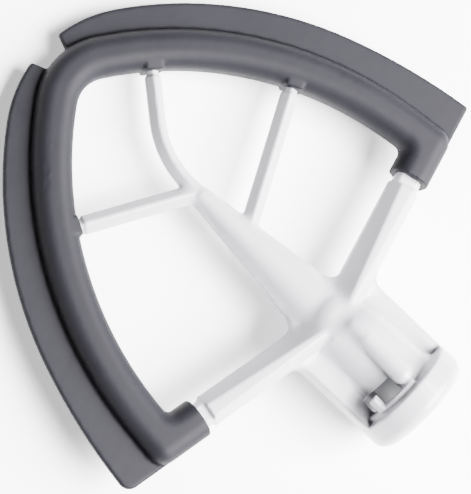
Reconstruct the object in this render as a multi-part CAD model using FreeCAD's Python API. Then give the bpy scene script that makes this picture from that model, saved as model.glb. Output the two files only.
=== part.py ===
"""Flat beater of a stand mixer: a white cast frame with a soft grey wiping edge moulded on its rim.

The beater is drawn flat, with the hub axis along +Y, the tip towards -Y and the front towards +Z.
At the end it is laid down as it comes to rest, on the collar of its hub and on its tip.
"""
import FreeCAD, Part
import math
import os

V = FreeCAD.Vector
NEAR = 1.5                 # reach within which an edge counts as lying on a line

# Rim: centre line of the loop, from the tip outwards and up, as tangent arcs
TIP_REACH = 71.45          # hub axis origin to the rim's centre line at the tip
TIP_RADIUS = 17.35
TIP_SWEEP = 32.9           # degrees
SIDE_RADIUS = 116.5
SIDE_STRAIGHT = 8.9689      # straight stretch between the side's arc and the arm's line
RIM_START = 46.0           # from the hub axis, along the arm
RIM_HALF_WIDTH = 4.1
RIM_HALF_HEIGHT = 3.2
RIM_CHAMFER = 1.3
RIM_CORNER = 4.0           # inside corner between arm and side

# Arms: their centre lines meet on the hub axis and fall towards the rim
ARM_APEX = 36.9
ARM_SLOPE = 12.8           # degrees
ARM_LENGTH = 48.0          # from the hub axis, along the arm, to the step
ARM_ROOT = 3.0
ARM_ROOT_HALF_WIDTH = 4.8
ARM_END_HALF_WIDTH = 5.1
ARM_ROOT_HALF_HEIGHT = 8.6
ARM_END_HALF_HEIGHT = 4.5
ARM_ROUND = 0.9
ARM_ROOT_CREST = (0.0, 0.35)   # reach of the flat crest to either side, against the half width
ARM_END_CREST = (0.35, 0.5)
BAR_EDGE_SHARE = 0.22      # half height of a bar's upright edge, against the bar's

# Soft edge: tube round the rim
TUBE_HALF_WIDTH = 6.15
TUBE_HALF_HEIGHT = 6.25
TUBE_OUTER_ROUND = 4.8
TUBE_INNER_ROUND = 5.2
TUBE_TOP_CORNER = 5.1      # plan radius where the side turns into the sleeve
TUBE_INNER_CORNER = 2.0
SLEEVE_START = 51.3        # from the hub axis, along the arm

# Soft edge: flat fins outside the tube
FIN_START = 53.3           # from the hub axis, along the arm
FIN_TIP_WIDTH = 4.9        # from the tube to the fin's edge, drawn on to the hub axis
FIN_TIP_RADIUS = 43.5
FIN_TIP_SWEEP = 34.3       # degrees
FIN_LOW_RADIUS = 123.4
FIN_LOW_SWEEP = 34.75      # degrees
FIN_HIGH_RADIUS = 193.0
FIN_STRAIGHT = 0.2620       # straight stretch between the edge's last arc and the arm
FIN_HALF_THICKNESS = 1.2
FIN_EDGE_ROUND = 0.8
FIN_CORNER_RIGHT = 3.6
FIN_CORNER_LEFT = 0.9
FIN_GAP_TOP = 4.4          # half the gap between the fins, at the tube
FIN_GAP_END = 6.4          # half the gap at the fins' edge
FIN_REACH = TIP_REACH + TUBE_HALF_WIDTH + FIN_TIP_WIDTH

# Soft edge: square cuffs where the spokes go in
CUFF_HALF_WIDTH = 2.6
CUFF_HALF_HEIGHT = 6.0
CUFF_MOUTH_HALF_WIDTH = 3.0
CUFF_MOUTH_HALF_HEIGHT = 4.4
CUFF_PROUD = 0.4
CUFF_DEPTH = 4.2
CUFF_ROUND = 0.6

# Spine: convex rib on a thin ledge, from the hub down to the first spokes
SPINE_TOP = 33.0
SPINE_BOTTOM = -19.0
SPINE_TOP_HALF_WIDTH = 9.9
SPINE_BOTTOM_HALF_WIDTH = 3.3
SPINE_LEDGE = 1.6
SPINE_LEDGE_HALF_HEIGHT = 0.9
SPINE_TOP_HALF_HEIGHT = 6.6
SPINE_BOTTOM_HALF_HEIGHT = 3.4
SPINE_EDGE_SHARE = 0.25    # half height of the rib's upright edge, against the rib's
SPINE_ROOT = 40.0          # where its rib ends inside the hub
SPINE_ROOT_HALF_HEIGHT = 8.6
WINDOW_CORNER = 4.0
WINDOW_CORNER_HALF_HEIGHT = 1.5
CORNER_OVERLAP = 1.5

# Spokes
SPOKE_HALF_HEIGHT = 2.9
SPOKE_NECK_SHARE = 0.78    # neck size against the bar's
SPOKE_NECK_LENGTH = 1.5    # bare neck between bar and soft edge
SPOKE_ROUND = 0.5
SPOKE_CREST = (0.16, 0.16)
SPOKE_OVERLAP = 1.0        # how far a neck reaches back into its bar
UPPER_SPOKE_ROOT_X = -2.0
UPPER_SPOKE_ROOT_Y = -0.3
UPPER_SPOKE_ANGLE = 204.4  # degrees from +X
UPPER_SPOKE_HALF_WIDTH = 2.75
SIDE_SPOKE_ROOT_X = 0.0
SIDE_SPOKE_ROOT_Y = -19.7
SIDE_SPOKE_ANGLE = 330.0
SIDE_SPOKE_HALF_WIDTH = 2.9
CURVED_SPOKE_HALF_WIDTH = 2.5
CURVED_SPOKE_BEND = 30.0   # radius
CURVED_SPOKE_TURN = 41.5   # degrees
CURVED_SPOKE_START_X = -0.4
CURVED_SPOKE_START_Y = -22.8
CURVED_SPOKE_RUN_IN = 6.0  # straight stretch inside the spine's end

# Hub
CLEAR = 6.0                # how far a cutting block or a joining end runs past its face
HUB_END = 75.3
COLLAR_RADIUS = 17.7
COLLAR_START = 66.0        # underside of the collar
LIP_START = 64.0           # underside of the narrower lip over each pocket
LIP_RADIUS = 15.4
COLLAR_END_ROUND = 3.7
COLLAR_START_ROUND = 0.5
HUB_LOW_RADIUS = 12.5
HUB_LOW = 45.5
HUB_TOP_RADIUS = 13.0
BOSS_RADIUS = 9.1          # round hill where arms, spine and nose meet
BOSS_CENTRE = 36.0
NOSE_MIDDLE_RADIUS = 10.9
NOSE_MIDDLE = 40.0
NOSE_TOP_RADIUS = 8.4
NOSE_TOP = 36.4
NOSE_END_RADIUS = 4.0
NOSE_END = 33.0
FLANGE_HALF_WIDTH = 17.4
FLANGE_HALF_HEIGHT = 3.5
FLANGE_LOW = 31.0
BARREL_RADIUS = 10.6       # wall round the bore, seen in the pockets
POCKET_LOW = 37.6
POCKET_ROUND = 2.4
RIB_LOW_RADIUS = 2.4       # round rib that widens from the nose to the collar
RIB_LOW_SIDE = -0.4        # how far its axis lies to the side, along the hub and up, at its low end
RIB_LOW_ALONG = 41.0
RIB_LOW_CREST = 13.0
RIB_TOP_RADIUS = 3.2
RIB_TOP_SIDE = 0.55
RIB_TOP_ALONG = 61.2
RIB_TOP_CREST = 15.6
SHOULDER_CORNER = 4.0

# Drive: bore for the shaft and bayonet slot for its cross pin
BORE_RADIUS = 6.45
BORE_DEPTH = 34.0
PIN_HALF_LENGTH = 11.6
PIN_SLOT_HALF_WIDTH = 3.0
PIN_WINDOW_LOW = 59.2
PIN_WINDOW_HIGH = 65.2     # its roof, let into the lip
PIN_WINDOW_RADIUS = 12.8
PIN_WINDOW_SWEEP = 72.0    # degrees, from the slot to the rib
POST_SIZE = 2.5
POST_LENGTH = 4.1
POST_RADIUS = 14.7
POST_ANGLE = 38.5


def half_turn(shape):
    """Copy of a shape after half a turn about the hub axis."""
    copy = shape.copy()
    copy.rotate(V(0, 0, 0), V(0, 1, 0), 180)
    return copy


def other_side(shape):
    """Mirror image of a shape on the other side of the hub axis."""
    return shape.mirror(V(0, 0, 0), V(1, 0, 0))


def unit(angle):
    """Unit vector in the flat of the beater, at an angle in degrees from +X."""
    return V(math.cos(math.radians(angle)), math.sin(math.radians(angle)), 0)


ARM_ALONG = unit(-ARM_SLOPE)
ARM_ACROSS = unit(90 - ARM_SLOPE)


def arm_point(along, across):
    """Point on the right arm, by its distance along the arm and across it towards the hub's end."""
    return V(0, ARM_APEX, 0) + ARM_ALONG * along + ARM_ACROSS * across


def arc_run(tip, arcs):
    """Run of tangent arcs from a level start at the tip: (start, middle, end) of each, and the turn."""
    point = V(0, tip, 0)
    turn = 0.0
    runs = []
    for radius, sweep in arcs:
        centre = point + unit(turn + 90) * radius
        middle = centre + unit(turn + sweep / 2 - 90) * radius
        turn += sweep
        end = centre + unit(turn - 90) * radius
        runs.append((point, middle, end))
        point = end
    return runs, turn


def sweep_to_arm(reach, arcs, radius, straight, across):
    """Sweep of the last arc of an outline, which then runs straight on to a line along the arm."""
    runs, turn = arc_run(-reach, arcs)
    centre = runs[-1][2] + unit(turn + 90) * radius
    height = (arm_point(0, across) - centre).dot(ARM_ACROSS)
    end = math.acos(-height / math.hypot(radius, straight)) - math.atan2(straight, radius)
    return math.degrees(end) - ARM_SLOPE - turn


SIDE_SWEEP = sweep_to_arm(TIP_REACH, [(TIP_RADIUS, TIP_SWEEP)], SIDE_RADIUS, SIDE_STRAIGHT, 0)


def rim_run(offset):
    """The rim's centre line moved outwards by an offset."""
    arcs = [(TIP_RADIUS + offset, TIP_SWEEP), (SIDE_RADIUS + offset, SIDE_SWEEP)]
    return arc_run(-TIP_REACH - offset, arcs)


def meet(point, direction, base, along):
    """Where the line through a point meets the line through a base."""
    cross = direction.x * along.y - direction.y * along.x
    gap = base - point
    return point + direction * ((gap.x * along.y - gap.y * along.x) / cross)


def half_outline(runs, turn, across):
    """Right half of an outline: arcs up the side, then a straight run up to a line along the arm."""
    edges = [Part.Arc(*run).toShape() for run in runs]
    corner = meet(runs[-1][2], unit(turn), arm_point(0, across), ARM_ALONG)
    edges.append(Part.LineSegment(runs[-1][2], corner).toShape())
    return edges, corner


def both_sides(edges):
    """Edges and their mirror images."""
    return edges + [other_side(edge) for edge in edges]


def slab(edges, half_height):
    """Solid between plus and minus a half height, from the edges of a closed outline."""
    wire = Part.Wire(Part.__sortEdges__(edges))
    face = Part.Face(wire)
    face.translate(V(0, 0, -half_height))
    return face.extrude(V(0, 0, 2 * half_height))


def polyline(points):
    """Straight edges through points."""
    return [Part.LineSegment(a, b).toShape() for a, b in zip(points, points[1:])]


def loop_band(half_width, half_height, start):
    """Band of even width along the rim and the outer ends of the arms, from a start along the arm."""
    outer, outer_corner = half_outline(*rim_run(half_width), half_width)
    inner, inner_corner = half_outline(*rim_run(-half_width), -half_width)
    ends = [outer_corner, arm_point(start, half_width), arm_point(start, -half_width), inner_corner]
    band = slab(both_sides(outer + inner + polyline(ends)), half_height).removeSplitter()
    return band, outer_corner, inner_corner


def upright_edges(shape, places):
    """Edges along Z that stand at one of the given places, on either side of the hub axis."""
    found = []
    for edge in shape.Edges:
        box = edge.BoundBox
        upright = box.XLength < 0.01 and box.YLength < 0.01 and box.ZLength > 0.5
        middle = V(abs(box.Center.x), box.Center.y, 0)
        if upright and any(middle.distanceToPoint(V(abs(p.x), p.y, 0)) < 0.05 for p in places):
            found.append(edge)
    return found


def flat_edges(shape, half_height, wire_edges, reach):
    """Edges in the top and bottom faces that run within reach of a line."""
    line = Part.Compound(wire_edges)
    found = []
    for edge in shape.Edges:
        box = edge.BoundBox
        level = box.ZLength < 0.01 and abs(abs(box.Center.z) - half_height) < 0.01
        if not level:
            continue
        middle = edge.valueAt((edge.FirstParameter + edge.LastParameter) / 2)
        if Part.Vertex(V(middle.x, middle.y, 0)).distToShape(line)[0] < reach:
            found.append(edge)
    return found


def rounded_wire(points, radius):
    """Closed wire through points, each corner rounded by an arc."""
    count = len(points)
    edges = []
    ends = []
    for i, corner in enumerate(points):
        before = (points[i - 1] - corner).normalize()
        after = (points[(i + 1) % count] - corner).normalize()
        half = before.getAngle(after) / 2
        back = radius / math.tan(half)
        centre = corner + (before + after).normalize() * (radius / math.sin(half))
        middle = centre + (corner - centre).normalize() * radius
        ends.append((corner + before * back, middle, corner + after * back))
    for i in range(count):
        edges.append(Part.Arc(*ends[i]).toShape())
        edges.append(Part.LineSegment(ends[i][2], ends[(i + 1) % count][0]).toShape())
    return Part.Wire(edges)


def bar_section(centre, across, half_width, half_height, crest, radius):
    """Eight-sided section of a cast bar, standing across its line, parted at mid height."""
    edge = half_height * BAR_EDGE_SHARE
    low = -half_width * crest[0]
    high = half_width * crest[1]
    points = [
        (-half_width, -edge), (low, -half_height), (high, -half_height), (half_width, -edge),
        (half_width, edge), (high, half_height), (low, half_height), (-half_width, edge),
    ]
    return rounded_wire([centre + across * u + V(0, 0, w) for u, w in points], radius)


def arm():
    """Right arm: faceted, tallest at the hub."""
    root = bar_section(arm_point(ARM_ROOT, 0), ARM_ACROSS, ARM_ROOT_HALF_WIDTH,
                       ARM_ROOT_HALF_HEIGHT, ARM_ROOT_CREST, ARM_ROUND)
    end = bar_section(arm_point(ARM_LENGTH, 0), ARM_ACROSS, ARM_END_HALF_WIDTH,
                      ARM_END_HALF_HEIGHT, ARM_END_CREST, ARM_ROUND)
    return Part.makeLoft([root, end], True, True)


def spine_section(y, half_width, half_height):
    """Section of the spine's rib: a bow at the front and one at the back."""
    edge = half_height * SPINE_EDGE_SHARE
    ends = [V(x, y, z) for x, z in ((half_width, edge), (-half_width, edge),
                                    (-half_width, -edge), (half_width, -edge))]
    return Part.Wire([
        Part.Arc(ends[0], V(0, y, half_height), ends[1]).toShape(),
        Part.LineSegment(ends[1], ends[2]).toShape(),
        Part.Arc(ends[2], V(0, y, -half_height), ends[3]).toShape(),
        Part.LineSegment(ends[3], ends[0]).toShape(),
    ])


def spine():
    """Tapered convex rib with a thin ledge at the parting line."""
    top_half_width = SPINE_TOP_HALF_WIDTH - SPINE_LEDGE
    root = spine_section(SPINE_ROOT, top_half_width, SPINE_ROOT_HALF_HEIGHT)
    top = spine_section(SPINE_TOP, top_half_width, SPINE_TOP_HALF_HEIGHT)
    low = spine_section(SPINE_BOTTOM, SPINE_BOTTOM_HALF_WIDTH - SPINE_LEDGE / 2, SPINE_BOTTOM_HALF_HEIGHT)
    rib = Part.makeLoft([root, top, low], True, True)
    corners = [V(SPINE_TOP_HALF_WIDTH, SPINE_TOP, 0), V(SPINE_BOTTOM_HALF_WIDTH, SPINE_BOTTOM, 0),
               V(-SPINE_BOTTOM_HALF_WIDTH, SPINE_BOTTOM, 0), V(-SPINE_TOP_HALF_WIDTH, SPINE_TOP, 0)]
    ledge = slab(polyline(corners + corners[:1]), SPINE_LEDGE_HALF_HEIGHT)
    return rib.fuse(ledge)


def spoke_section(centre, across, half_width, scale=1.0):
    """Section of a spoke or of its neck."""
    height = SPOKE_HALF_HEIGHT * scale
    return bar_section(centre, across, half_width * scale, height, SPOKE_CREST, SPOKE_ROUND)


def edge_distance(root, along, offset):
    """Distance from a spoke's root, along it, to the rim's line moved by an offset."""
    arcs = both_sides([Part.Arc(*run).toShape() for run in rim_run(offset)[0]])
    ray = Part.LineSegment(root, root + along * 2 * TIP_REACH).toShape()
    points = ray.distToShape(Part.Compound(arcs))[1]
    return (points[0][0] - root).Length


def straight_spoke(root, angle, half_width):
    """Straight bar from its root to a short neck, which goes on into the rim."""
    along = unit(angle)
    across = unit(angle + 90)
    soft = edge_distance(root, along, -TUBE_HALF_WIDTH)
    bar_end = soft - CUFF_PROUD - SPOKE_NECK_LENGTH
    rim = edge_distance(root, along, 0)
    bar = Part.Face(spoke_section(root, across, half_width)).extrude(along * bar_end)
    neck_start = root + along * (bar_end - SPOKE_OVERLAP)
    neck = Part.Face(spoke_section(neck_start, across, half_width, SPOKE_NECK_SHARE))
    return bar.fuse(neck.extrude(along * (rim - bar_end + SPOKE_OVERLAP)))


def curved_spoke():
    """Lower spoke: the spine's line bends towards one side and runs on straight."""
    start = V(CURVED_SPOKE_START_X, CURVED_SPOKE_START_Y, 0)
    centre = start - V(CURVED_SPOKE_BEND, 0, 0)
    middle = centre + unit(-CURVED_SPOKE_TURN / 2) * CURVED_SPOKE_BEND
    bend_end, bend_angle = curved_spoke_line()
    top = start + V(0, CURVED_SPOKE_RUN_IN, 0)
    path = Part.Wire([Part.LineSegment(top, start).toShape(), Part.Arc(start, middle, bend_end).toShape()])
    section = spoke_section(top, V(1, 0, 0), CURVED_SPOKE_HALF_WIDTH)
    bend = path.makePipeShell([section], True, False)
    return bend.fuse(straight_spoke(bend_end, bend_angle, CURVED_SPOKE_HALF_WIDTH))


def corner_fill(corner, first, second, radius, half_height):
    """Web with a concave edge in the corner between two edges that leave it along two directions."""
    half = first.getAngle(second) / 2
    back = radius / math.tan(half)
    centre = corner + (first + second).normalize() * (radius / math.sin(half))
    away = (corner - centre).normalize()
    a = corner + first * back
    b = corner + second * back
    overlap = away * CORNER_OVERLAP
    outline = polyline([b, b + overlap, corner + overlap, a + overlap, a])
    return slab([Part.Arc(a, centre + away * radius, b).toShape()] + outline, half_height)


def corner_fills():
    """Rounded corners of the windows beside the spine, and of the shoulders above the arms."""
    edge_down = V(SPINE_BOTTOM_HALF_WIDTH - SPINE_TOP_HALF_WIDTH, SPINE_BOTTOM - SPINE_TOP, 0).normalize()
    arm_low = arm_point(0, -ARM_ROOT_HALF_WIDTH)
    window = meet(V(SPINE_TOP_HALF_WIDTH, SPINE_TOP, 0), edge_down, arm_low, ARM_ALONG)
    arm_high = arm_point(0, ARM_ROOT_HALF_WIDTH)
    shoulder = meet(V(FLANGE_HALF_WIDTH, COLLAR_START, 0), V(0, -1, 0), arm_high, ARM_ALONG)
    fills = [
        corner_fill(window, edge_down, V(ARM_ALONG), WINDOW_CORNER, WINDOW_CORNER_HALF_HEIGHT),
        corner_fill(shoulder, V(0, 1, 0), V(ARM_ALONG), SHOULDER_CORNER, FLANGE_HALF_HEIGHT),
    ]
    return fills + [other_side(fill) for fill in fills]


def revolved(stretches):
    """Solid of revolution about the hub axis, from arcs and straight stretches of (radius, height)."""
    edges = []
    for kind, places in stretches:
        spots = [V(radius, height, 0) for radius, height in places]
        edges += [Part.Arc(*spots).toShape()] if kind == "arc" else polyline(spots)
    face = Part.Face(Part.Wire(edges))
    return face.revolve(V(0, 0, 0), V(0, 1, 0), 360)


def hub_body():
    """Round body with its nose, and the flanges at its sides."""
    nose_end = (NOSE_END_RADIUS, NOSE_END)
    nose_top = (NOSE_TOP_RADIUS, NOSE_TOP)
    low = (HUB_LOW_RADIUS, HUB_LOW)
    body = revolved([
        ("line", [(0, NOSE_END), nose_end, nose_top]),
        ("arc", [nose_top, (NOSE_MIDDLE_RADIUS, NOSE_MIDDLE), low]),
        ("line", [low, (HUB_TOP_RADIUS, COLLAR_START), (0, COLLAR_START), (0, NOSE_END)]),
    ])
    height = COLLAR_START + COLLAR_START_ROUND - FLANGE_LOW
    flange = Part.makeBox(2 * FLANGE_HALF_WIDTH, height, 2 * FLANGE_HALF_HEIGHT,
                          V(-FLANGE_HALF_WIDTH, FLANGE_LOW, -FLANGE_HALF_HEIGHT))
    return body.multiFuse([flange, Part.makeSphere(BOSS_RADIUS, V(0, BOSS_CENTRE, 0))])


def pocket():
    """Open quarter beside the front rib, outside the wall round the bore."""
    size = COLLAR_RADIUS + CLEAR
    corner = V(0, POCKET_LOW, FLANGE_HALF_HEIGHT)
    block = Part.makeBox(size, LIP_START - POCKET_LOW, size, corner)
    barrel = Part.makeCylinder(BARREL_RADIUS, COLLAR_START, V(0, 0, 0), V(0, 1, 0))
    space = block.cut(barrel)
    foot = []
    for edge in space.Edges:
        box = edge.BoundBox
        on_flange = box.ZLength < 0.01 and abs(box.ZMin - FLANGE_HALF_HEIGHT) < 0.01
        if on_flange and box.XLength < 0.01 and abs(box.XMin - BARREL_RADIUS) < NEAR:
            foot.append(edge)
    return space.makeFillet(POCKET_ROUND, foot)


def collar():
    """Thick round collar at the open end of the hub."""
    disc = Part.makeCylinder(COLLAR_RADIUS, HUB_END - COLLAR_START, V(0, COLLAR_START, 0), V(0, 1, 0))
    end = [e for e in disc.Edges if e.BoundBox.YMin > HUB_END - 0.01]
    low = [e for e in disc.Edges if e.BoundBox.YMax < COLLAR_START + 0.01]
    return disc.makeFillet(COLLAR_END_ROUND, end).makeFillet(COLLAR_START_ROUND, low)


def lip():
    """Quarter ring under the collar, over the pocket."""
    height = COLLAR_START - LIP_START + COLLAR_START_ROUND
    ring = Part.makeCylinder(LIP_RADIUS, height, V(0, LIP_START, 0), V(0, 1, 0))
    return ring.common(Part.makeBox(LIP_RADIUS, height, LIP_RADIUS, V(0, LIP_START, 0)))


def post():
    """Small square stop that hangs from the collar in the pocket."""
    block = Part.makeBox(POST_SIZE, POST_LENGTH + COLLAR_START_ROUND, POST_SIZE,
                         V(POST_RADIUS - POST_SIZE / 2, LIP_START - POST_LENGTH, -POST_SIZE / 2))
    block.rotate(V(0, 0, 0), V(0, 1, 0), -POST_ANGLE)
    return block


def pin_window():
    """Quarter in which one end of the cross pin turns under the collar, from the slot to the rib."""
    low = PIN_WINDOW_LOW
    high = PIN_WINDOW_HIGH
    outline = polyline([V(0, low, 0), V(PIN_WINDOW_RADIUS, low, 0), V(PIN_WINDOW_RADIUS, high, 0),
                        V(0, high, 0), V(0, low, 0)])
    face = Part.Face(Part.Wire(outline))
    return face.revolve(V(0, 0, 0), V(0, -1, 0), PIN_WINDOW_SWEEP)


def drive_cuts():
    """Bore, slot for the cross pin, and the two windows in which the pin turns."""
    bore = Part.makeCylinder(BORE_RADIUS, BORE_DEPTH + CLEAR, V(0, HUB_END - BORE_DEPTH, 0), V(0, 1, 0))
    slot = Part.makeBox(2 * PIN_HALF_LENGTH, HUB_END - PIN_WINDOW_LOW + CLEAR, 2 * PIN_SLOT_HALF_WIDTH,
                        V(-PIN_HALF_LENGTH, PIN_WINDOW_LOW, -PIN_SLOT_HALF_WIDTH))
    window = pin_window()
    return [bore, slot, window, half_turn(window)]


def rib():
    """Raised round rib along the front of the hub, widening to a round end under the collar."""
    start = V(RIB_LOW_SIDE, RIB_LOW_ALONG, RIB_LOW_CREST - RIB_LOW_RADIUS)
    axis = V(RIB_TOP_SIDE, RIB_TOP_ALONG, RIB_TOP_CREST - RIB_TOP_RADIUS) - start
    sine = (RIB_TOP_RADIUS - RIB_LOW_RADIUS) / axis.Length
    lean = math.asin(sine)

    def at(centre, radius, angle):
        return V(centre - radius * math.sin(angle), radius * math.cos(angle), 0)

    def arc(centre, radius, first, last):
        spots = [at(centre, radius, angle) for angle in (first, (first + last) / 2, last)]
        return Part.Arc(*spots).toShape()

    low, high = at(0, RIB_LOW_RADIUS, lean), at(axis.Length, RIB_TOP_RADIUS, lean)
    start_tip, end_tip = V(-RIB_LOW_RADIUS, 0, 0), V(axis.Length + RIB_TOP_RADIUS, 0, 0)
    outline = [arc(0, RIB_LOW_RADIUS, math.pi / 2, lean), Part.makeLine(low, high),
               arc(axis.Length, RIB_TOP_RADIUS, lean, -math.pi / 2), Part.makeLine(end_tip, start_tip)]
    rod = Part.Face(Part.Wire(outline)).revolve(V(0, 0, 0), V(1, 0, 0), 360)
    rod.Placement = FreeCAD.Placement(start, FreeCAD.Rotation(V(1, 0, 0), axis))
    return rod


def hub():
    """The whole hub before its bore is cut."""
    body = hub_body().cut(pocket()).cut(half_turn(pocket()))
    front = [rib(), lip(), post()]
    return body.multiFuse(front + [half_turn(piece) for piece in front] + [collar()])


def along_arm_end(edge, start):
    """Whether an edge lies in the square end of a band that starts along the arm."""
    ends = [V(abs(v.X), v.Y, 0) for v in edge.Vertexes]
    return all(abs((p - arm_point(start, 0)).dot(ARM_ALONG)) < 0.01 for p in ends)


def frame():
    """The white casting."""
    rim, outer_corner, inner_corner = loop_band(RIM_HALF_WIDTH, RIM_HALF_HEIGHT, RIM_START)
    rim = rim.makeFillet(RIM_CORNER, upright_edges(rim, [inner_corner, outer_corner]))
    arris = [e for e in rim.Edges if e.BoundBox.ZLength < 0.01 and not along_arm_end(e, RIM_START)]
    rim = rim.makeChamfer(RIM_CHAMFER, arris)
    bar = arm()
    upper = V(UPPER_SPOKE_ROOT_X, UPPER_SPOKE_ROOT_Y, 0)
    side = V(SIDE_SPOKE_ROOT_X, SIDE_SPOKE_ROOT_Y, 0)
    spokes = [
        straight_spoke(upper, UPPER_SPOKE_ANGLE, UPPER_SPOKE_HALF_WIDTH),
        straight_spoke(side, SIDE_SPOKE_ANGLE, SIDE_SPOKE_HALF_WIDTH),
        curved_spoke(),
    ]
    body = hub().multiFuse([rim, bar, other_side(bar), spine()] + spokes + corner_fills())
    for cut in drive_cuts():
        body = body.cut(cut)
    return body.removeSplitter()


def tube():
    """Soft tube round the rim, with square-cut sleeves on the arms."""
    body, outer_corner, inner_corner = loop_band(TUBE_HALF_WIDTH, TUBE_HALF_HEIGHT, SLEEVE_START)
    body = body.makeFillet(TUBE_INNER_CORNER, upright_edges(body, [inner_corner]))
    body = body.makeFillet(TUBE_TOP_CORNER, upright_edges(body, [outer_corner]))
    outer, _ = half_outline(*rim_run(TUBE_HALF_WIDTH), TUBE_HALF_WIDTH)
    outer += polyline([outer_corner, arm_point(SLEEVE_START, TUBE_HALF_WIDTH)])
    inner, _ = half_outline(*rim_run(-TUBE_HALF_WIDTH), -TUBE_HALF_WIDTH)
    inner += polyline([inner_corner, arm_point(SLEEVE_START, -TUBE_HALF_WIDTH)])
    body = body.makeFillet(TUBE_OUTER_ROUND, flat_edges(body, TUBE_HALF_HEIGHT, both_sides(outer), NEAR))
    return body.makeFillet(TUBE_INNER_ROUND, flat_edges(body, TUBE_HALF_HEIGHT, both_sides(inner), NEAR))


def fins():
    """Flat fins outside the tube, one on each side, with a gap between them at the tip."""
    arcs = [(FIN_TIP_RADIUS, FIN_TIP_SWEEP), (FIN_LOW_RADIUS, FIN_LOW_SWEEP)]
    high_sweep = sweep_to_arm(FIN_REACH, arcs, FIN_HIGH_RADIUS, FIN_STRAIGHT, TUBE_HALF_WIDTH)
    runs, turn = arc_run(-FIN_REACH, arcs + [(FIN_HIGH_RADIUS, high_sweep)])
    outer, corner = half_outline(runs, turn, TUBE_HALF_WIDTH)
    start = arm_point(FIN_START, TUBE_HALF_WIDTH)
    plate = slab(both_sides(outer + polyline([corner, start, V(0, start.y, 0)])), FIN_HALF_THICKNESS)
    inner, inner_corner = half_outline(*rim_run(0), 0)
    low = arm_point(FIN_START, 0)
    high = V(low.x, HUB_END, 0)
    inside = polyline([inner_corner, low, high, V(0, high.y, 0)])
    plate = plate.cut(slab(both_sides(inner + inside), TUBE_HALF_HEIGHT))
    gap_start = V(FIN_GAP_TOP, -TIP_REACH, 0)
    gap_tube = V(FIN_GAP_TOP, -TIP_REACH - TUBE_HALF_WIDTH, 0)
    gap_end = V(FIN_GAP_END, -FIN_REACH, 0)
    gap = polyline([V(0, gap_start.y, 0), gap_start, gap_tube, gap_end, V(0, gap_end.y, 0)])
    wedge = slab(both_sides(gap), TUBE_HALF_HEIGHT)
    plate = plate.cut(wedge).removeSplitter()
    right = [e for e in upright_edges(plate, [corner]) if e.BoundBox.XMin > 0]
    left = [e for e in upright_edges(plate, [corner]) if e.BoundBox.XMax < 0]
    plate = plate.makeFillet(FIN_CORNER_RIGHT, right).makeFillet(FIN_CORNER_LEFT, left)
    return plate.makeFillet(FIN_EDGE_ROUND, flat_edges(plate, FIN_HALF_THICKNESS, both_sides(outer), NEAR))


def spoke_cuff(root, angle):
    """Small square cuff of the soft edge round a spoke, lowest where it leaves the tube."""
    along = unit(angle)
    across = unit(angle + 90)
    soft = edge_distance(root, along, -TUBE_HALF_WIDTH)
    sections = []
    for distance, width, height in ((soft - CUFF_PROUD, CUFF_MOUTH_HALF_WIDTH, CUFF_MOUTH_HALF_HEIGHT),
                                    (soft + CUFF_DEPTH, CUFF_HALF_WIDTH, CUFF_HALF_HEIGHT)):
        centre = root + along * distance
        corners = [(-width, -height), (width, -height), (width, height), (-width, height)]
        sections.append(rounded_wire([centre + across * u + V(0, 0, w) for u, w in corners], CUFF_ROUND))
    return Part.makeLoft(sections, True, True)


def curved_spoke_line():
    """Where the curved spoke's straight stretch starts, and its angle."""
    centre = V(CURVED_SPOKE_START_X, CURVED_SPOKE_START_Y, 0) - V(CURVED_SPOKE_BEND, 0, 0)
    return centre + unit(-CURVED_SPOKE_TURN) * CURVED_SPOKE_BEND, 270 - CURVED_SPOKE_TURN


def soft_edge(casting):
    """The grey moulding: tube, fins and cuffs, moulded round the casting."""
    bend_end, bend_angle = curved_spoke_line()
    cuffs = [
        spoke_cuff(V(UPPER_SPOKE_ROOT_X, UPPER_SPOKE_ROOT_Y, 0), UPPER_SPOKE_ANGLE),
        spoke_cuff(V(SIDE_SPOKE_ROOT_X, SIDE_SPOKE_ROOT_Y, 0), SIDE_SPOKE_ANGLE),
        spoke_cuff(bend_end, bend_angle),
    ]
    return tube().multiFuse([fins()] + cuffs).cut(casting)


def resting_turn():
    """Tilt about X, in degrees, that brings the tip and the collar's edge down to one level."""
    tip_y = -TIP_REACH - TUBE_HALF_WIDTH + TUBE_OUTER_ROUND
    tip_z = TUBE_OUTER_ROUND - TUBE_HALF_HEIGHT
    collar_y = COLLAR_START + COLLAR_START_ROUND
    collar_z = COLLAR_START_ROUND - COLLAR_RADIUS
    span = math.hypot(collar_y - tip_y, collar_z - tip_z)
    fall = math.atan2(tip_z - collar_z, collar_y - tip_y)
    return math.degrees(fall - math.asin((TUBE_OUTER_ROUND - COLLAR_START_ROUND) / span))


def main():
    """Build both pieces, lay them down and write them."""
    casting = frame()
    edge = soft_edge(casting)
    whole = Part.Compound([casting, edge])
    whole.rotate(V(0, 0, 0), V(1, 0, 0), resting_turn())
    box = whole.optimalBoundingBox(False, False)
    shift = V(-(box.XMin + box.XMax) / 2, -(box.YMin + box.YMax) / 2, -box.ZMin)
    print("resting turn", resting_turn(), "shift", shift)
    print("size", box.XLength, box.YLength, box.ZLength)
    os.makedirs("parts", exist_ok=True)
    for name, shape in (("beater_frame", casting), ("silicone_edge", edge)):
        shape.rotate(V(0, 0, 0), V(1, 0, 0), resting_turn())
        shape.translate(shift)
        print(name, shape.ShapeType, len(shape.Solids), shape.isValid(), round(shape.Volume), "mm3")
        shape.exportStep("parts/" + name + ".step")


if __name__ == "__main__":
    main()
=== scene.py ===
"""Look of a stand mixer's flat beater: white coated casting with a soft grey wiping edge."""
import math

import bmesh
import bpy
import numpy as np
from bpy.props import FloatProperty, FloatVectorProperty, IntProperty, PointerProperty
from mathutils import Matrix, Vector


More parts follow.
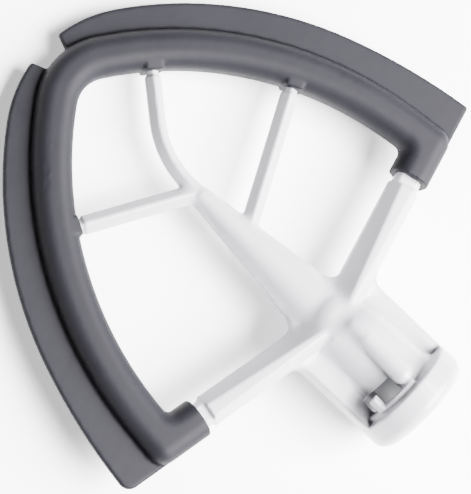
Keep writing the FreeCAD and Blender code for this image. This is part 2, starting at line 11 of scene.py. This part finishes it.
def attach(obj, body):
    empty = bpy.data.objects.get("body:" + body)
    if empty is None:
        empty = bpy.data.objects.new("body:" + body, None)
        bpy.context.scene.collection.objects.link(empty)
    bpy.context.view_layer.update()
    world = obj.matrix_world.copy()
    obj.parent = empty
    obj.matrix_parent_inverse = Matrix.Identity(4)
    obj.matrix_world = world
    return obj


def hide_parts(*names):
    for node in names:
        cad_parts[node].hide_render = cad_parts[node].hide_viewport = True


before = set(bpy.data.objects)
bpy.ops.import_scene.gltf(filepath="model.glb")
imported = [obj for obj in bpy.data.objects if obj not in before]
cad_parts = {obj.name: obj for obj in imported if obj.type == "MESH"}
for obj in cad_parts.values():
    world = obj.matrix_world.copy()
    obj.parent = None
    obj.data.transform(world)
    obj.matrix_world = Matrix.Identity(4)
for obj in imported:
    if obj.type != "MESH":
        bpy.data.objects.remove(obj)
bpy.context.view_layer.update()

bl_info = {
    "name": "Flat beater",
    "version": (1, 0, 0),
    "blender": (4, 5, 0),
    "location": "View3D > Sidebar > Beater",
    "description": "Builds a coated flat beater with its soft wiping edge, and a pale stage for it",
    "category": "Add Mesh",
}

MM = 0.001

# How the beater, drawn in its own flat with the hub axis along Y, is laid down on its collar and tip
LAY = (Matrix.Translation(Vector((0.1745, 2.8042, 12.2015)) * MM)
       @ Matrix.Rotation(math.radians(4.6931), 4, "X"))
AIM = Vector((3.75, 0, 0)) * MM          # where the camera aims, in that flat

# Hollow corners that are filled out: X, Y, Z, full reach and outer reach, in mm in that flat. The back
# has the same after half a turn about Y.
FILLETS = (
    (0, 24, 0, 19, 27), (-2, -1, 0, 4, 8), (0, -20, 0, 4, 9),
    (-12.5, 42, 3.5, 5, 8), (-12.5, 50, 3.5, 5, 8), (-12.5, 58, 3.5, 5, 8), (-9, 65, 11, 5, 9),
)
FADES = ((0, 40, 11, 2.5, 6.5),)         # where crests sink as well: the ribs' low ends on the hills
FILL_STEP = 0.7                          # share of the way to its neighbours that a point goes in a round
ROUNDS_PER_NORMAL = 5                    # rounds after which the surface's normals are worked out again
WELD = 0.001 * MM                        # points closer than this are one

# Places on the casting where shade is painted into the coating's colour, in mm in that flat
BORE_LOW, BORE_HIGH = 44, 75.2           # stretch of the hub whose inside gets painted shade
BORE_REACH = 9.5                         # how far from the hub's axis that painted shade reaches
NOOK = (13.6, 60.9, 4.0)                 # deep corner of a pin pocket, between flange and collar
NOOK_REACH = 7.0
POCKET_SIDE = 25                         # X times Z is above this on the two sides with a pocket, in mm2
POCKET_LOW, POCKET_HIGH = 51, 60         # stretch over which the painted shade on a pocket's wall grows
POCKET_TOP = 64                          # where that shade ends under the collar
POCKET_REACH = 12.2                      # how far from the hub's axis it ends

# Finishes: pointiness of a flat place and of hollow ones, where shade is painted; shares of the painted
# shades and of the other tones; then the sizes of patches and the depths of relief, in metres
FLAT, CORNER, CREASE = 0.495, 0.44, 0.46
CORNER_SHARE, CLOUD_SHARE = 0.45, 0.08
NOOK_SHARE, NOOK_SHARE_ELSEWHERE = 0.73, 0.07
WALL_SHARE = 0.72
CREASE_SHARE = 0.7
BLOOM_SHARE, SPECK_SHARE = 0.5, 0.25
COAT_CLOUD, ORANGE_PEEL, CAST_WAVE = 14 * MM, 1.6 * MM, 9 * MM
ORANGE_PEEL_DEPTH, CAST_WAVE_DEPTH = 0.02 * MM, 0.12 * MM
BLOOM_CLOUD, SPECK, MOULD_GRAIN, FLOW_WAVE = 18 * MM, 0.7 * MM, 0.45 * MM, 7 * MM
MOULD_GRAIN_DEPTH, FLOW_WAVE_DEPTH = 0.02 * MM, 0.08 * MM
FLOOR_MOTTLE = 60 * MM

# Stage, in metres
FLOOR_HALF = 1.5
KEY_SIZE = 0.75
KEY_FROM = (-0.41, 0.87, 1.15)           # direction in which the key lamp stands
KEY_DISTANCE = 0.9
SENSOR_WIDTH = 36                        # of the camera, in mm
NEAR_CLIP = 0.01


class BeaterShape(bpy.types.PropertyGroup):
    """How finely the two pieces are meshed, and how far their edges are eased."""
    grain: FloatProperty(
        name="Grain", description="Mesh size before the flat places are thinned out",
        default=0.42 * MM, min=0.3 * MM, unit="LENGTH")
    casting_easing: IntProperty(
        name="Casting easing", description="Rounds of smoothing that ease the casting's edges",
        default=2, min=0)
    casting_fillet: IntProperty(
        name="Casting fillets", description="Rounds of filling in the casting's hollow corners",
        default=120, min=0)
    edge_easing: IntProperty(
        name="Soft edge easing", description="Rounds of smoothing that ease the wiping edge",
        default=4, min=0)
    triangles: IntProperty(
        name="Triangles", description="Most triangles that one piece keeps",
        default=180000, min=1000)


class BeaterFinish(bpy.types.PropertyGroup):
    """Colours and textures of the coating and the silicone, and the shade painted into them."""
    coating: FloatVectorProperty(
        name="Coating", description="White of the baked coating",
        default=(0.475, 0.47, 0.505), size=3, min=0, max=1, subtype="COLOR")
    # Painted shade of the coating in hollow corners, also the faint cloudy tone of its patches
    cloud_and_corner_shade: FloatVectorProperty(
        name="Coating in recesses", description="Tone of the coating where it lies deep in a corner",
        default=(0.22, 0.22, 0.245), size=3, min=0, max=1, subtype="COLOR")
    # Painted shade deep in the pin pockets, where the hollow under the collar lies in shade
    painted_pocket_shade: FloatVectorProperty(
        name="Coating in the pockets", description="Dull tone deep in the pockets, where the coat is thin",
        default=(0.022, 0.022, 0.026), size=3, min=0, max=1, subtype="COLOR")
    # Painted shade inside the bore and its pin slots, a dull dark tone that stands in for the shade there
    bore: FloatVectorProperty(
        name="Bore", description="Dull bare metal inside the bore and its pin slots",
        default=(0.085, 0.085, 0.09), size=3, min=0, max=1, subtype="COLOR")
    coating_roughness: FloatProperty(
        name="Coating roughness", description="Roughness of the coating",
        default=0.33, min=0, max=1, subtype="FACTOR")
    silicone: FloatVectorProperty(
        name="Silicone", description="Grey of the wiping edge",
        default=(0.0080, 0.0077, 0.0105), size=3, min=0, max=1, subtype="COLOR")
    silicone_bloom: FloatVectorProperty(
        name="Silicone bloom", description="Paler grey of its dusty bloom",
        default=(0.0116, 0.0112, 0.0148), size=3, min=0, max=1, subtype="COLOR")
    # Painted shade in the crease where the fins leave the tube
    silicone_crease_shade: FloatVectorProperty(
        name="Silicone in creases", description="Dark tone of the line where the fins leave the tube",
        default=(0.0012, 0.0012, 0.0016), size=3, min=0, max=1, subtype="COLOR")
    silicone_roughness: FloatProperty(
        name="Silicone roughness", description="Roughness of the wiping edge",
        default=0.6, min=0, max=1, subtype="FACTOR")


class BeaterStage(bpy.types.PropertyGroup):
    """Floor, light and camera."""
    floor_tone: FloatVectorProperty(
        name="Floor", description="Tone of the floor",
        default=(0.98, 0.98, 0.985), size=3, min=0, max=1, subtype="COLOR")
    floor_glow: FloatProperty(
        name="Floor glow", description="Strength of the light that shines through the floor board",
        default=0.75, min=0)
    key_power: FloatProperty(
        name="Key lamp", description="Power of the large lamp beyond the hub, in watts",
        default=116.0, min=0)
    sky: FloatProperty(
        name="Sky", description="Strength of the even light all round",
        default=0.05, min=0)
    lens: FloatProperty(
        name="Lens", description="Focal length of the camera, in mm",
        default=171.3, min=1)
    distance: FloatProperty(
        name="Distance", description="Distance from the camera to the point that it aims at",
        default=0.705, min=0.01, unit="LENGTH")
    tilt: FloatProperty(
        name="Tilt", description="Camera's lean from straight above, towards the tip",
        default=math.radians(-4.8065), unit="ROTATION")
    swing: FloatProperty(
        name="Swing", description="Camera's lean from straight above, to the side",
        default=math.radians(-17.0978), unit="ROTATION")
    roll: FloatProperty(
        name="Roll", description="Turn of the picture about the line of sight",
        default=math.radians(-133.5581), unit="ROTATION")


def shape():
    """The sizes that the user has set."""
    return bpy.context.scene.beater_shape


def finish():
    """The colours and textures that the user has set."""
    return bpy.context.scene.beater_finish


def stage():
    """The floor, light and camera that the user has set."""
    return bpy.context.scene.beater_stage


class Signal:
    """A socket with arithmetic: an expression on signals adds the Math nodes that work it out."""

    def __init__(self, graph, socket):
        self.graph = graph
        self.socket = socket

    def _math(self, operation, *values):
        return self.graph.add("ShaderNodeMath", {"operation": operation}, dict(enumerate(values)))

    def __add__(self, other):
        return self._math("ADD", self, other)

    def __sub__(self, other):
        return self._math("SUBTRACT", self, other)

    def __rsub__(self, other):
        return self._math("SUBTRACT", other, self)

    def __mul__(self, other):
        return self._math("MULTIPLY", self, other)

    def __truediv__(self, other):
        return self._math("DIVIDE", self, other)

    def __abs__(self):
        return self._math("ABSOLUTE", self)

    def above(self, other):
        """1 where the signal is above another or above a number, and 0 elsewhere."""
        return self._math("GREATER_THAN", self, other)

    __radd__ = __add__
    __rmul__ = __mul__


class Graph:
    """Node tree of one material, built by calls."""

    def __init__(self, name):
        self.material = bpy.data.materials.new(name)
        self.material.use_nodes = True
        self.tree = self.material.node_tree
        self.surface = self.tree.nodes["Principled BSDF"]

    def add(self, kind, settings=None, inputs=None, output=0):
        """Add a node: settings first, then the value or link of each named or numbered input."""
        node = self.tree.nodes.new(kind)
        for name, value in (settings or {}).items():
            if name == "stops":
                self._stops(node.color_ramp, value)
            else:
                setattr(node, name, value)
        for name, value in (inputs or {}).items():
            self.feed(node.inputs[name], value)
        return Signal(self, node.outputs[output])

    def _stops(self, ramp, stops):
        while len(ramp.elements) < len(stops):
            ramp.elements.new(1.0)
        for element, (position, tone) in zip(ramp.elements, stops):
            element.position = position
            element.color = (tone, tone, tone, 1)

    def feed(self, socket, value):
        """Link a signal to a socket, or set the socket to a number, a colour or a vector."""
        if isinstance(value, Signal):
            self.tree.links.new(value.socket, socket)
        elif isinstance(value, (int, float)):
            socket.default_value = value
        else:
            value = tuple(value)
            socket.default_value = value + (1,) * (len(socket.default_value) - len(value))

    def shade(self, **inputs):
        """Set or link inputs of the surface shader, named with underscores for spaces."""
        for name, value in inputs.items():
            self.feed(self.surface.inputs[name.replace("_", " ")], value)

    def place(self):
        """Place on the piece, in its own coordinates."""
        return self.add("ShaderNodeTexCoord", output="Object")

    def flat_place(self):
        """X, Y and Z in the flat that the beater was drawn in, in mm."""
        place = self.place()
        x, y, z = (self.add("ShaderNodeSeparateXYZ", {}, {0: place}, output=axis) for axis in range(3))
        flat = LAY.inverted()
        return [x * (row[0] / MM) + y * (row[1] / MM) + z * (row[2] / MM) + row[3] / MM
                for row in flat[:3]]

    def noise(self, size, detail, roughness=0.5):
        """Noise whose patches are about a size across, in metres."""
        return self.add("ShaderNodeTexNoise", {}, {
            "Vector": self.place(), "Scale": 1 / size, "Detail": detail, "Roughness": roughness})

    def ramp(self, signal, stops):
        """Signal run through a ramp of grey tones, each stop a position and a tone."""
        return self.add("ShaderNodeValToRGB", {"stops": stops}, {"Fac": signal})

    def hollow(self, deep):
        """1 where the surface is as hollow as a given pointiness or more, and 0 where it is flat."""
        pointiness = self.add("ShaderNodeNewGeometry", output="Pointiness")
        return self.ramp(pointiness, [(deep, 1.0), (FLAT, 0.0)])

    def mix(self, factor, first, second):
        """Blend of two colours."""
        return self.add("ShaderNodeMix", {"data_type": "RGBA"}, {0: factor, 6: first, 7: second}, output=2)

    def bump(self, height, depth, below=None):
        """Normal of a surface raised by a height from 0 to 1 over a depth in metres."""
        inputs = {"Height": height, "Distance": depth, "Strength": 1.0}
        if below:
            inputs["Normal"] = below
        return self.add("ShaderNodeBump", {}, inputs)


def bore_shade_mask(graph, y, away):
    """1 where shade is painted inside the hub, by Y and by the square of the reach from the hub's axis."""
    inside = graph.ramp(away / BORE_REACH ** 2, [(0.72, 1.0), (1.0, 0.0)])
    return inside * y.above(BORE_LOW) * (1 - y.above(BORE_HIGH))


def nook_shade_mask(graph, x, y, z, pocket):
    """Painted shade round the deep corner of each pin pocket, and a trace of it in the corners opposite.
    """
    aside, up, over = (abs(value) - middle for value, middle in zip((x, y, z), NOOK))
    apart = (aside * aside + up * up + over * over) / NOOK_REACH ** 2
    near = graph.ramp(apart, [(0.1, 1.0), (1.0, 0.0)])
    return near * (pocket * NOOK_SHARE + NOOK_SHARE_ELSEWHERE)


def pocket_wall_shade_mask(graph, y, away, pocket):
    """Painted shade on the wall of the bore in each pin pocket, growing towards the collar."""
    rise = (y - POCKET_LOW) / (POCKET_HIGH - POCKET_LOW)
    growth = graph.ramp(rise, [(0.0, 0.0), (0.5, 0.3), (1.0, 1.0)])
    low = (1 - away.above(POCKET_REACH ** 2)) * (1 - y.above(POCKET_TOP))
    return growth * pocket * low * WALL_SHARE


def coating_material():
    """Baked white coating: glossy, with orange peel, faint clouds, and painted shade in corners, pockets
    and bore.
    """
    look = finish()
    graph = Graph("white_coating")
    # how hollow a corner is, where shade is painted into the coating
    corner = graph.hollow(CORNER)
    cloud = graph.ramp(graph.noise(COAT_CLOUD, 3), [(0.35, 0.0), (0.7, 1.0)])
    x, y, z = graph.flat_place()
    away = x * x + z * z
    pocket = graph.ramp(x * z / POCKET_SIDE, [(0.6, 0.0), (1.0, 1.0)])
    nook = nook_shade_mask(graph, x, y, z, pocket)
    # painted shade in hollow corners, round the pockets' nooks, on the pockets' walls and inside the bore
    colour = graph.mix(corner * CORNER_SHARE + cloud * CLOUD_SHARE, look.coating, look.cloud_and_corner_shade)
    colour = graph.mix(nook, colour, look.painted_pocket_shade)
    colour = graph.mix(pocket_wall_shade_mask(graph, y, away, pocket), colour, look.painted_pocket_shade)
    colour = graph.mix(bore_shade_mask(graph, y, away), colour, look.bore)
    cast = graph.bump(graph.noise(CAST_WAVE, 2), CAST_WAVE_DEPTH)
    graph.shade(Base_Color=colour,
                Roughness=cloud * 0.06 + nook * 0.3 + (look.coating_roughness - 0.03),
                Normal=graph.bump(graph.noise(ORANGE_PEEL, 2), ORANGE_PEEL_DEPTH, cast),
                Coat_Weight=(1 - nook) * 0.25, Coat_Roughness=0.12, Specular_IOR_Level=0.4)
    return graph.material


def silicone_material():
    """Moulded grey silicone: satin, with a fine mould grain, a faint bloom and painted shade in its
    creases.
    """
    look = finish()
    graph = Graph("grey_silicone")
    cloud = graph.ramp(graph.noise(BLOOM_CLOUD, 4, 0.6), [(0.35, 0.0), (0.68, 1.0)])
    speck = graph.ramp(graph.noise(SPECK, 2), [(0.4, 0.0), (0.7, 1.0)])
    colour = graph.mix(cloud * BLOOM_SHARE + speck * SPECK_SHARE, look.silicone, look.silicone_bloom)
    # painted shade in the creases, by pointiness
    colour = graph.mix(graph.hollow(CREASE) * CREASE_SHARE, colour, look.silicone_crease_shade)
    flow = graph.bump(graph.noise(FLOW_WAVE, 2), FLOW_WAVE_DEPTH)
    graph.shade(Base_Color=colour,
                Roughness=cloud * 0.08 + speck * 0.04 + (look.silicone_roughness - 0.05),
                Normal=graph.bump(graph.noise(MOULD_GRAIN, 3, 0.6), MOULD_GRAIN_DEPTH, flow),
                Specular_IOR_Level=0.15)
    return graph.material


def floor_material():
    """Matte pale board with a faint mottle, lit from below as a light table is."""
    graph = Graph("pale_floor")
    tone = stage().floor_tone
    mottle = graph.noise(FLOOR_MOTTLE, 3)
    graph.shade(Base_Color=graph.mix(mottle * 0.15, tone, [c * 0.96 for c in tone]),
                Roughness=0.85, Specular_IOR_Level=0.2,
                Emission_Color=tone, Emission_Strength=stage().floor_glow)
    return graph.material


def link(name, content):
    """New object in the scene, at the origin, for a mesh, a lamp or a camera."""
    thing = bpy.data.objects.new(name, content)
    bpy.context.collection.objects.link(thing)
    return thing


def merged_copy(node):
    """Copy of a CAD node's mesh with its facets joined along their edges."""
    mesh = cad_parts[node].data.copy()
    soup = bmesh.new()
    soup.from_mesh(mesh)
    bmesh.ops.remove_doubles(soup, verts=soup.verts, dist=WELD)
    soup.to_mesh(mesh)
    soup.free()
    mesh.materials.clear()
    return mesh


def evaluated(mesh, modifiers):
    """Mesh after a stack of modifiers, each given as its kind and settings. The input is removed."""
    draft = link("draft", mesh)
    for kind, settings in modifiers:
        modifier = draft.modifiers.new(kind, kind)
        for name, value in settings.items():
            setattr(modifier, name, value)
    finished = draft.evaluated_get(bpy.context.evaluated_depsgraph_get())
    result = bpy.data.meshes.new_from_object(finished)
    bpy.data.objects.remove(draft)
    bpy.data.meshes.remove(mesh)
    return result


def column(items, name, width, kind=np.float64):
    """Values of one property of many mesh items, as rows."""
    values = np.empty(len(items) * width, kind)
    items.foreach_get(name, values)
    return values.reshape(-1, width)


def in_world(spots):
    """Spots of the flat, on the front and after half a turn on the back, where the beater lies."""
    return [(LAY @ (Vector((x * side, y, z * side)) * MM), full * MM, outer * MM)
            for x, y, z, full, outer in spots for side in (1, -1)]


def nearness(place, spots):
    """How near each point is to some spots, from 0 to 1: (centre, full reach, outer reach)."""
    near = np.zeros(len(place))
    for centre, full, outer in spots:
        away = np.linalg.norm(place - np.array(centre), axis=1)
        near = np.maximum(near, np.clip((outer - away) / (outer - full), 0, 1))
    return near


def fill_hollows(mesh, hollows, crests, rounds):
    """Raise hollow corners into soft fillets near some spots, and let crests sink near others."""
    ends = column(mesh.edges, "vertices", 2, np.int64)
    count = len(mesh.vertices)
    links = np.bincount(ends.ravel(), minlength=count)
    place = column(mesh.vertices, "co", 3)
    fill, sink = nearness(place, hollows), nearness(place, crests)
    for turn in range(rounds):
        if turn % ROUNDS_PER_NORMAL == 0:
            mesh.vertices.foreach_set("co", place.ravel())
            mesh.update()
            normal = column(mesh.vertices, "normal", 3)
        total = np.zeros((count, 3))
        for axis in range(3):
            total[:, axis] = (np.bincount(ends[:, 0], place[ends[:, 1], axis], count)
                              + np.bincount(ends[:, 1], place[ends[:, 0], axis], count))
        rise = ((total / links[:, None] - place) * normal).sum(axis=1)
        step = np.maximum(rise, 0) * fill + np.minimum(rise, 0) * sink
        place += normal * (step * FILL_STEP)[:, None]
    mesh.vertices.foreach_set("co", place.ravel())
    mesh.update()


def drop_bubbles(mesh):
    """Keep the outer shell of an even mesh, and drop the specks of air that it can leave in a wall."""
    soup = bmesh.new()
    soup.from_mesh(mesh)
    unseen = set(soup.verts)
    shells = []
    while unseen:
        shell = [unseen.pop()]
        for vert in shell:
            near = {edge.other_vert(vert) for edge in vert.link_edges} & unseen
            unseen -= near
            shell.extend(near)
        shells.append(shell)
    shells.sort(key=len)
    for shell in shells[:-1]:
        bmesh.ops.delete(soup, geom=shell, context="VERTS")
    soup.to_mesh(mesh)
    soup.free()


def eased_copy(node, name, rounds, fillet_rounds=0):
    """Even mesh over the shape of a CAD node, with its edges eased as a mould or a coat eases them."""
    mesh = evaluated(merged_copy(node), [
        ("REMESH", {"mode": "VOXEL", "voxel_size": shape().grain, "use_smooth_shade": True})])
    if fillet_rounds:
        fill_hollows(mesh, in_world(FILLETS), in_world(FADES), fillet_rounds)
    triangles = sum(len(face.vertices) - 2 for face in mesh.polygons)
    eased = evaluated(mesh, [
        ("SMOOTH", {"factor": 0.5, "iterations": rounds}),
        ("DECIMATE", {"ratio": min(1.0, shape().triangles / triangles)})])
    eased.name = name
    drop_bubbles(eased)
    return link(name, eased)


def dress(piece, node, material):
    """Give a piece its material, and let it stand for its CAD node."""
    piece.data.materials.clear()
    piece.data.materials.append(material)
    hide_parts(node)
    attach(piece, "root")


class BEATER_OT_casting(bpy.types.Operator):
    """Build the coated casting: hub, arms, spine and spokes."""
    bl_idname = "beater.casting"
    bl_label = "Coated casting"

    def execute(self, context):
        sizes = shape()
        piece = eased_copy("beater_frame", "coated_casting", sizes.casting_easing, sizes.casting_fillet)
        dress(piece, "beater_frame", coating_material())
        return {"FINISHED"}


class BEATER_OT_wiping_edge(bpy.types.Operator):
    """Build the soft wiping edge: tube, sleeves, cuffs and fins."""
    bl_idname = "beater.wiping_edge"
    bl_label = "Wiping edge"

    def execute(self, context):
        piece = eased_copy("silicone_edge", "wiping_edge", shape().edge_easing)
        dress(piece, "silicone_edge", silicone_material())
        return {"FINISHED"}


class BEATER_OT_stage(bpy.types.Operator):
    """Set the pale floor, the soft light and the camera."""
    bl_idname = "beater.stage"
    bl_label = "Stage"

    def execute(self, context):
        look = stage()
        self.floor()
        self.key_lamp(look)
        self.sky(context, look)
        self.camera(context, look)
        return {"FINISHED"}

    def floor(self):
        """Lay the pale board under the beater."""
        mesh = bpy.data.meshes.new("floor")
        corners = [(x * FLOOR_HALF, y * FLOOR_HALF, 0) for x, y in ((-1, -1), (1, -1), (1, 1), (-1, 1))]
        mesh.from_pydata(corners, [], [(0, 1, 2, 3)])
        floor = link("floor", mesh)
        mesh.materials.append(floor_material())

    def key_lamp(self, look):
        """Hang a large square lamp that faces the beater."""
        light = bpy.data.lights.new("key_lamp", "AREA")
        light.energy = look.key_power
        light.size = KEY_SIZE
        source = link("key_lamp", light)
        towards = Vector(KEY_FROM).normalized()
        source.location = towards * KEY_DISTANCE
        source.rotation_euler = towards.to_track_quat("Z", "Y").to_euler()

    def sky(self, context, look):
        """Light the scene evenly from all round."""
        world = bpy.data.worlds.new("even_light")
        world.use_nodes = True
        background = world.node_tree.nodes["Background"]
        background.inputs["Color"].default_value = (1, 1, 1, 1)
        background.inputs["Strength"].default_value = look.sky
        context.scene.world = world

    def camera(self, context, look):
        """Aim the camera in the beater's own flat, then lay it down with the beater."""
        data = bpy.data.cameras.new("camera")
        data.lens = look.lens
        data.sensor_width = SENSOR_WIDTH
        data.clip_start = NEAR_CLIP
        turn = Matrix.Rotation(-look.swing, 3, "Y") @ Matrix.Rotation(-look.tilt, 3, "X")
        turn = turn @ Matrix.Rotation(-look.roll, 3, "Z")
        place = AIM + turn @ Vector((0, 0, look.distance))
        camera = link("camera", data)
        camera.matrix_world = LAY @ Matrix.Translation(place) @ turn.to_4x4()
        context.scene.camera = camera


class BEATER_PT_panel(bpy.types.Panel):
    """Sizes, finishes and steps of the beater."""
    bl_label = "Flat beater"
    bl_space_type = "VIEW_3D"
    bl_region_type = "UI"
    bl_category = "Beater"

    def draw(self, context):
        for group in (shape(), finish(), stage()):
            box = self.layout.box()
            for name in group.bl_rna.properties.keys():
                if name not in ("rna_type", "name"):
                    box.prop(group, name)
        for step in STEPS:
            self.layout.operator(step.bl_idname)


STEPS = (BEATER_OT_stage, BEATER_OT_casting, BEATER_OT_wiping_edge)
GROUPS = {"beater_shape": BeaterShape, "beater_finish": BeaterFinish, "beater_stage": BeaterStage}
CLASSES = (*GROUPS.values(), *STEPS, BEATER_PT_panel)


def register():
    for each in CLASSES:
        bpy.utils.register_class(each)
    for name, group in GROUPS.items():
        setattr(bpy.types.Scene, name, PointerProperty(type=group))


def unregister():
    for name in GROUPS:
        delattr(bpy.types.Scene, name)
    for each in reversed(CLASSES):
        bpy.utils.unregister_class(each)


def main():
    """Build the stage and both pieces."""
    register()
    bpy.ops.beater.stage()
    bpy.ops.beater.casting()
    bpy.ops.beater.wiping_edge()


if __name__ == "__main__":
    main()
